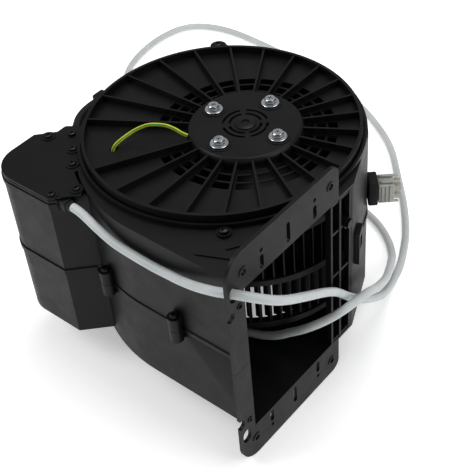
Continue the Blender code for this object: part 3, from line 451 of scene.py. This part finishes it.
boxLoop = boxEdge() + [(-60, -100), (-100, -60)]
seamBand = lipBand(scrollOutline(), 0.9, 103.5, 107.6)
seamBand = carve(seamBand, block((99.5, -160, 90), (130, 40, 130)), "DIFFERENCE")
addPiece("seamLip", seamBand, casingPlastic, bevel=0.35)
boxBand = besideScroll(lipBand(boxLoop, 0.9, 102.5, 107.6), 90, 120)
addPiece("boxSeamLip", boxBand, casingPlastic, bevel=0.35)
lidBand = besideScroll(lipBand(boxLoop, 0.8, 172.5, 177.0), 160, 190)
lidBand = carve(lidBand, block((-76, -139.5, 165), (-50, -120, 190)), "DIFFERENCE")
addPiece("boxTopLip", lidBand, casingPlastic, bevel=0.35)
print("lips and rims shaped")

# ---- lid of the electronics box


def lidHoles():
    return joined([rod(x, y, 3, 178, 186, 24) for x, y in lidScrews])


lid = flatSolid([inset(lidOutline(), 0.2)], 180.3, 182.3)
lid = carve(lid, lidHoles(), "DIFFERENCE")
lid = carve(lid, block((-75.5, -139, 178), (-50, -128, 181.2)), "DIFFERENCE")
for x, y in lidScrews[1:]:
    lid = carve(lid, rod(x, y, 5.6, 182.0, 183.0), "UNION")
lid = carve(lid, lidHoles(), "DIFFERENCE")
addPiece("boxLid", lid, casingPlastic, bevel=0.5, replace=("box_lid",))
print("lid shaped")

# ---- motor plate: eccentric rim, ribs from the fan axis, three rings of vents and the hub


def rimReach(angle, radius):
    turn = math.radians(angle)
    along = plate["x"] * math.cos(turn) + plate["y"] * math.sin(turn)
    return along + math.sqrt(along ** 2 + radius ** 2 - plate["x"] ** 2 - plate["y"] ** 2)


def motorPlate():
    floor, hub, bar = plate["floor"], plate["hub"], plate["bar"]
    disc = [circle(plate["x"], plate["y"], plate["radius"] - 1, 200), circle(0, 0, hub - 1, 120)]
    body = flatSolid(disc, floor - plate["sheet"], floor)
    step = (plate["ventOuter"] - plate["ventInner"] + bar) / 3
    openings = [flatSolid([slot(-71, -76, 5, 8)], floor - 8, floor + 4)]
    for row in range(3):
        low = plate["ventInner"] + row * step
        vent = sector(low, low + step - bar, plate["ventStart"], plate["ventEnd"])
        vent = flatSolid([vent], floor - 8, floor + 4)
        for k in range(plate["ribs"]):
            if k not in (plate["missing"], plate["missing"] - 1):
                copy = vent.copy()
                angle = plate["first"] - plate["ribStep"] * k
                bmesh.ops.rotate(copy, verts=copy.verts, matrix=Matrix.Rotation(math.radians(angle), 3, "Z"))
                openings.append(copy)
        vent.free()
        # the bars between the rows reach down as rings, so that the vents look deep
        body = carve(body, ring(low + step - bar + 0.1, low + step - 0.1, floor - 7, floor - 1, 120), "UNION")
    body = carve(body, joined(openings), "DIFFERENCE")
    rim = ring(plate["radius"] - plate["rim"], plate["radius"], 186.3, plate["top"], 200,
               plate["x"], plate["y"])
    body = carve(body, rim, "UNION")
    ribs = []
    for k in range(plate["ribs"]):
        if k != plate["missing"]:
            angle = plate["first"] - plate["ribStep"] * k
            turn = Matrix.Rotation(math.radians(angle), 4, "Z")
            far = (rimReach(angle, 110), plate["ribHalf"], plate["top"] - 0.3)
            ribs.append(block((hub - 1, -plate["ribHalf"], 189), far, turn))
    body = carve(body, joined(ribs), "UNION")
    wall = turned([(41.9, 187.5), (46.4, 187.5), (46.4, 191.6), (46.1, 193.4), (45.4, 195.1), (44.4, 196.4),
                   (43.4, 197.1), (42.6, plate["hubTop"]), (41.9, plate["hubTop"])], 120)
    body = carve(body, wall, "UNION")
    cover = [circle(0, 0, 43.0, 120)] + [circle(x, y, 3, 24) for x, y in motorScrews]
    for radius in (12.5, 17.5):
        cover += [sector(radius - 1, radius + 1, a + 8, a + 82, 16) for a in range(45, 360, 90)]
    return carve(body, flatSolid(cover, plate["hubTop"] - 2.6, plate["hubTop"]), "UNION")


addPiece("motorPlate", motorPlate(), platePlastic, bevel=0.35, replace=("motor_plate",))
bossCap = turned([(0.01, 193), (8.6, 193), (8.6, 198.0), (7.6, 198.6), (3.4, 198.6), (3.0, 197.6),
                  (0.01, 197.6)], 64)
addPiece("hubBoss", bossCap, platePlastic)
seats = joined([ring(7.9, 9.6, 196.8, 197.9, 48, x, y) for x, y in motorScrews])
addPiece("screwSeats", seats, platePlastic, bevel=0.3)
print("motor plate shaped")

# ---- impeller: two staggered rows of curved blades between rings and a middle plate


def impellerBody():
    radius, blade = 90.0, dict(count=66, bend=9.5, middle=82.4, pitch=14, half=0.55, bow=1.9)
    bent = arc(0, 0, blade["bend"], -42, 42, 6)
    outer = [(x - blade["bend"] + blade["bow"] + blade["half"], y) for x, y in bent]
    inner = [(x - blade["bend"] + blade["bow"] - blade["half"], y) for x, y in bent]
    outline = [(y, x) for x, y in outer][::-1] + [(y, x) for x, y in inner]
    lean = Matrix.Rotation(math.radians(blade["pitch"]), 4, "Z")
    place = Matrix.Translation((blade["middle"], 0, 0)) @ lean
    solids = []
    for row, (low, high) in enumerate(((60, 109.2), (108.8, 158))):
        one = flatSolid([outline], low, high)
        for i in range(blade["count"]):
            angle = 2 * math.pi * (i + row / 2) / blade["count"]
            copy = one.copy()
            bmesh.ops.transform(copy, verts=copy.verts, matrix=Matrix.Rotation(angle, 4, "Z") @ place)
            solids.append(copy)
        one.free()
    for low, high in ((59, 65), (153, 159), (106, 112)):
        band = [(radius, low + 0.4), (radius, high - 0.4), (radius - 0.4, high), (radius - 2.6, high),
                (radius - 3, high - 0.4), (radius - 3, low + 0.4), (radius - 2.6, low), (radius - 0.4, low)]
        solids.append(turned(band, 132))
    disc = [(4.3, 98), (11, 98), (11, 108), (88, 108), (88, 110), (11, 110), (11, 116), (4.3, 116)]
    solids.append(turned(disc))
    return joined(solids)


addPiece("impellerCage", impellerBody(), shadedCagePlastic, "rotor", replace=("impeller",))
print("impeller shaped")

# ---- screws and washers


def crossCut(head, x, y, low, high, reach, half, twist):
    for turn in (0, 90):
        place = Matrix.Translation((x, y, 0)) @ Matrix.Rotation(math.radians(turn + twist), 4, "Z")
        head = carve(head, block((-reach, -half, low), (reach, half, high), place), "DIFFERENCE")
    return head


def hexScrew(x, y, low):
    top = low + 3.5
    cone = turned([(0.01, low - 1), (6, low - 1), (5.4, low + 2.2), (3.9, top), (0.01, top)], 48, x, y)
    head = carve(rod(x, y, 4.62, low, top, 6), cone, "INTERSECT")
    head = crossCut(head, x, y, low + 1.9, low + 5, 2.2, 0.45, 20)
    return joined([head, rod(x, y, 2.4, low - 13, low, 24)])


def panScrew(x, y, low, radius, height, shank, twist=15):
    profile = [(0.01, low), (radius, low), (radius, low + height * 0.35), (radius * 0.93, low + height * 0.7),
               (radius * 0.72, low + height * 0.95), (0.01, low + height)]
    head = turned(profile, 40, x, y)
    head = crossCut(head, x, y, low + height * 0.45, low + height + 2, radius * 0.55, 0.42, twist)
    return joined([head, rod(x, y, 2.4, low - shank, low, 20)])


for number, (x, y) in enumerate(motorScrews, 1):
    washer = turned([(2.9, 197.6), (7.3, 197.6), (7.3, 198.5), (7.0, 198.8), (2.9, 198.8)], 48, x, y)
    addPiece(f"motorWasher{number}", washer, zincPlate, replace=(f"motor_washer_{number}",))
    addPiece(f"motorScrew{number}", hexScrew(x, y, 199.1), zincPlate,
             replace=(f"motor_screw_{number}",))
for number, (x, y) in enumerate(lidScrews, 1):
    addPiece(f"lidScrew{number}", panScrew(x, y, 183.1, 3.1, 1.7, 12, 20 * number), darkScrew,
             replace=(f"lid_screw_{number}",))
for name, (x, y), low in (("Front", lugPlace, 188.3), ("Back", tabPlace, 186.3)):
    addPiece("plateScrew" + name, panScrew(x, y, low, 3.9, 2.3, 11), darkScrew,
             replace=("plate_screw_" + name.lower(),))
for name, (x, y) in zip(("side", "back", "left", "corner", "front"), seamPlaces):
    addPiece("seamScrew" + name.title(), panScrew(x, y, 121.5, 3.5, 2.3, 22), darkScrew,
             replace=("seam_screw_" + name,))
print("screws shaped")

# ---- mains cable: one smooth line through the route of the solid model, in millimetres
# It leaves the box, drops past the flange, lies on the table round the back and ends inside the outlet.

cable = dict(diameter=7.2 * mm, bevel=5, points=620)
cableRoute = [
    (-61.8, -133.5, 175.5), (-54, -134, 175.1), (-45, -135, 173.3), (-32, -136.8, 170.5), (-12, -138.6, 167),
    (19.5, -138.8, 165), (39, -139.5, 166.5), (55, -141.3, 170), (70, -143.5, 175.5), (86, -144.9, 182),
    (94, -144.3, 184.6), (101.5, -142.3, 186), (110, -138.4, 185.6), (118, -132.2, 182.8),
    (123, -124.4, 177.8), (124.4, -115.7, 171.5), (124, -105, 163.5), (122, -85, 148.5), (118.5, -65, 132.5),
    (113.5, -45, 114), (109.3, -30, 98), (107.4, -15, 80.5), (106.7, 8, 57), (102, 36, 33), (98, 53, 20),
    (92, 74, 9), (88, 88, 4.6), (83, 106, 3.8), (73, 129, 3.8), (61, 151, 3.8), (39, 182, 3.8),
    (12, 214, 3.8), (-17, 247, 3.8), (-46, 270, 3.8), (-86, 293, 3.8), (-135, 312, 3.8), (-195, 326, 3.8),
    (-254, 334, 3.8), (-308, 336, 3.8), (-344, 326, 3.8), (-362, 308, 3.8), (-369, 280, 3.8),
    (-368, 250, 3.8), (-361, 220, 3.8), (-349, 196, 3.8), (-330, 176, 3.8), (-304, 165, 3.8),
    (-275, 160, 3.8), (-240, 163, 3.8), (-200, 170, 3.8), (-136, 177, 3.8), (-66, 170, 3.8), (-7, 157, 3.8),
    (30, 145, 3.8), (54, 130, 3.8), (69, 114, 5), (78.5, 97, 11.5), (87, 80, 21), (95.5, 63.5, 32.5),
    (102, 48, 43), (107.3, 32.5, 53.6), (111, 19, 62.5), (113.8, 7.7, 71), (115.9, -2.5, 77),
    (117.1, -12, 81.5), (117, -21.5, 83.6), (115, -30.7, 83), (110.8, -39, 80), (104.9, -45.6, 75.7),
    (98, -50.6, 70.5), (90, -54.2, 64.5), (81, -56.5, 58), (70, -59.5, 50), (57.5, -61.8, 44), (45, -64, 41),
    (33.5, -67.4, 39.2), (20, -72, 38.4), (5, -77, 38.4), (-12, -80, 38.4)]


def smoothLine(route, count):  # Catmull-Rom through the route, then equal steps
    line = [Vector(p) for p in route]
    dense = []
    for i in range(len(line) - 1):
        a, b, c, d = line[max(i - 1, 0)], line[i], line[i + 1], line[min(i + 2, len(line) - 1)]
        square, cube = 2 * a - 5 * b + 4 * c - d, 3 * b - a - 3 * c + d
        for step in range(24):
            t = step / 24
            dense.append(0.5 * (2 * b + (c - a) * t + square * t * t + cube * t ** 3))
    dense.append(line[-1])
    reach = [0.0]
    for a, b in zip(dense, dense[1:]):
        reach.append(reach[-1] + (b - a).length)
    result, j = [], 0
    for i in range(count):
        wanted = reach[-1] * i / (count - 1)
        while j < len(reach) - 2 and reach[j + 1] < wanted:
            j += 1
        result.append(dense[j].lerp(dense[j + 1], (wanted - reach[j]) / (reach[j + 1] - reach[j])))
    return result, reach[-1]


def tubeCurve(name, route, diameter, count, bevel, material):
    line, length = smoothLine(route, count)
    curve = bpy.data.curves.new(name, "CURVE")
    curve.dimensions, curve.use_fill_caps = "3D", True
    curve.bevel_depth, curve.bevel_resolution = diameter / 2, bevel
    spline = curve.splines.new("POLY")
    spline.points.add(count - 1)
    for target, point in zip(spline.points, line):
        target.co = (*(toFrame @ point), 1)
    spline.use_smooth = True
    curve.materials.append(material)
    piece = bpy.data.objects.new(name, curve)
    bpy.context.scene.collection.objects.link(piece)
    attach(piece, "housing")
    return piece, length * mm


mainsCable, cableLength = tubeCurve("mainsCable", cableRoute, cable["diameter"], cable["points"],
                                    cable["bevel"], whitePvc)
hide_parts("mains_cable")
print("cable length", round(cableLength, 3))

endPlug = joined([block((-42, -86, 34.8), (-24, -74.5, 44.4), bevel=1.0),
                  block((-25, -84.6, 35.6), (-13, -75.9, 43.4), bevel=1.2)])
cableEnd = addPiece("cableEnd", endPlug, nylon, replace=("cable_connector",))
gland = joined([block((-74, -138, 171), (-66, -129, 180), bevel=0.8),
                block((-67, -137.2, 171.6), (-62.4, -129.8, 179.4), bevel=1.4)])
addPiece("cableGland", gland, casingPlastic, replace=("cable_gland",))

# ---- wires that the casing holds

sleeveRoute = [(-127.5, -64.5, 178), (-131.5, -59, 178), (-136, -52, 178), (-139.3, -43, 178),
               (-140.3, -35, 178), (-140.3, -28.3, 178)]
brownRoute = [(-122.6, -61.2, 178), (-126, -56.2, 178), (-129.4, -50, 178), (-132, -42, 178),
              (-133.6, -34, 178), (-134.2, -28.3, 178)]
earthRoute = [(-71, -77.5, 185), (-71, -77, 190), (-69.5, -72.5, 194.5), (-66, -59, 198), (-60, -50.5, 201),
              (-54, -46, 202), (-46, -41.5, 201.5), (-39, -39, 199.5), (-34, -37.5, 197), (-30, -35, 194.5)]
sleeve, _ = tubeCurve("wireSleeve", sleeveRoute, 8 * mm, 60, 4, sleeving)
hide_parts("wire_sleeve")
brown, _ = tubeCurve("brownWire", brownRoute, 3 * mm, 60, 3, brownPvc)
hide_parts("brown_wire")


def stripedWire(route, diameter):  # a swept disc, with two green stripes along it
    sides, count = 16, 160
    line, _ = smoothLine(route, count)
    body = bmesh.new()
    first = bmesh.ops.create_circle(body, cap_ends=True, segments=sides, radius=diameter / 2)["verts"]
    heading = (line[1] - line[0]).normalized()
    turn = Vector((0, 0, 1)).rotation_difference(heading).to_matrix().to_4x4()
    bmesh.ops.transform(body, verts=first, matrix=Matrix.Translation(line[0]) @ turn)
    face = body.faces[:][0]
    for i in range(1, count):
        after = (line[min(i + 1, count - 1)] - line[i - 1]).normalized()
        face = bmesh.ops.extrude_discrete_faces(body, faces=[face])["faces"][0]
        bend = heading.rotation_difference(after).to_matrix().to_4x4()
        place = Matrix.Translation(line[i]) @ bend @ Matrix.Translation(-face.calc_center_median())
        bmesh.ops.transform(body, verts=face.verts, matrix=place)
        heading = after
    body.faces.ensure_lookup_table()
    for index, side in enumerate(f for f in body.faces if len(f.verts) == 4):
        side.material_index = 1 if index % (sides // 2) < 2 else 0
    bmesh.ops.recalc_face_normals(body, faces=body.faces)
    return body


addPiece("earthWire", stripedWire(earthRoute, 3.0), [yellowPvc, greenPvc], sharp=60,
         replace=("earth_wire",))
print("wires shaped")

# ---- motor plug on the side wall

plugAngle = 40
holderFace = scrollRadius(plugAngle) + 0.6
plugFace = holderFace + 8.5


def plugBlock(low, high, bevel=0.0, face=plugFace):  # x runs out from the face, along the plug's own radius
    turn = Matrix.Rotation(math.radians(plugAngle), 4, "Z")
    return block((face + low[0], *low[1:]), (face + high[0], *high[1:]), turn, bevel)


holder = plugBlock((0, -9, 111), (8.2, 9, 134), 1.6, holderFace)
addPiece("plugHolder", holder, textured, replace=("plug_holder",))
shell = plugBlock((0, -8, 113), (13, 8, 131), 0.8)
shell = carve(shell, plugBlock((8, -6, 115), (15, 6, 129)), "DIFFERENCE")
sideRibs = [plugBlock((x, -8.6, 114), (x + 1.4, 8.6, 130), 0.4) for x in (2.2, 5.4, 8.6)]
prongs = [plugBlock((7, y - 0.9, z - 2.4), (19, y + 0.9, z + 2.4), 0.4)
          for y in (-5, 0, 5) for z in (118, 126)]
latches = [plugBlock((1, y - 1.3, z), (17, y + 1.3, z + 1.2), 0.3) for y in (-4, 4) for z in (111.2, 131.6)]
feet = [plugBlock((1, y - 1.3, z), (3, y + 1.3, z + 2.6), 0.3) for y in (-4, 4) for z in (111.2, 130.2)]
plug = joined([shell] + sideRibs + prongs + latches + feet)
addPiece("motorPlug", plug, nylon, replace=("motor_plug",))
print("plug shaped")

# ---- carried-over solids with their own finishes

finishes = {casingPlastic: ("inlet_stand_ring", "outlet_guard", "casing_clip"), darkScrew: ("guard_screw",),
            motorSteel: ("motor_shaft", "rotor_core", "stator_core"),
            shadedMotorShield: ("motor_shield_top", "motor_shield_bottom"),
            zincPlate: ("bearing_top", "bearing_bottom", "impeller_nut"),
            copperWire: ("winding_top", "winding_bottom"),
            boardGreen: ("control_board",), canWhite: ("run_capacitor",), nylon: ("terminal_block",)}
for material, names in finishes.items():
    for name in names:
        nodes[name].data.materials.clear()
        nodes[name].data.materials.append(material)
for name, width in (("inlet_stand_ring", 0.6), ("outlet_guard", 0.4), ("casing_clip", 0.6),
                    ("guard_screw", 0.5)):
    roundEdges(nodes[name], width)
print("finishes set")

# ---- floor, light and camera

floorPiece = bpy.data.objects.new("floor", bpy.data.meshes.new("floor"))
floorBody = bmesh.new()
bmesh.ops.create_grid(floorBody, x_segments=1, y_segments=1, size=6)
bmesh.ops.translate(floorBody, verts=floorBody.verts, vec=(0, 0, -0.0006))
floorBody.to_mesh(floorPiece.data)
floorBody.free()
floorPiece.data.materials.append(newMaterial("paleFloor", Base_Color=fromHex("f0f0f0"), Roughness=0.9,
                                             Emission_Color=(1, 1, 1, 1), Emission_Strength=0.42)[0])
bpy.context.scene.collection.objects.link(floorPiece)

world = bpy.data.worlds.new("studio")
world.use_nodes = True
world.node_tree.nodes["Background"].inputs["Color"].default_value = (1, 1, 1, 1)
world.node_tree.nodes["Background"].inputs["Strength"].default_value = 0.42
bpy.context.scene.world = world


def areaLight(name, location, target, size, power):
    light = bpy.data.lights.new(name, "AREA")
    light.shape, light.size, light.energy = "SQUARE", size, power
    lamp = bpy.data.objects.new(name, light)
    lamp.location = location
    lamp.rotation_euler = (Vector(target) - Vector(location)).to_track_quat("-Z", "Y").to_euler()
    bpy.context.scene.collection.objects.link(lamp)


areaLight("keyLight", (-0.9, -0.9, 1.5), (0, 0, 0.1), 0.9, 10)
areaLight("fillLight", (1.3, 0.3, 1.1), (0, 0, 0.1), 1.0, 7)
areaLight("topLight", (0.0, 0.5, 1.9), (0, 0, 0.1), 1.2, 13)

lens = bpy.data.cameras.new("camera")
lens.lens, lens.sensor_width, lens.sensor_fit = 79.86, 36.0, "HORIZONTAL"
camera = bpy.data.objects.new("camera", lens)
right = Vector((0.77529, 0.62808, -0.06664))
up = Vector((-0.38654, 0.55528, 0.73638))
back = Vector((0.49951, -0.54515, 0.67328))
looking = Matrix((right, up, back)).transposed().to_4x4()
camera.matrix_world = Matrix.Translation((0.4559, -0.4771, 0.6814)) @ looking
scene = bpy.context.scene
scene.collection.objects.link(camera)
scene.camera = camera
scene.view_settings.view_transform = "Standard"
scene.view_settings.gamma = 0.82
print("studio ready")
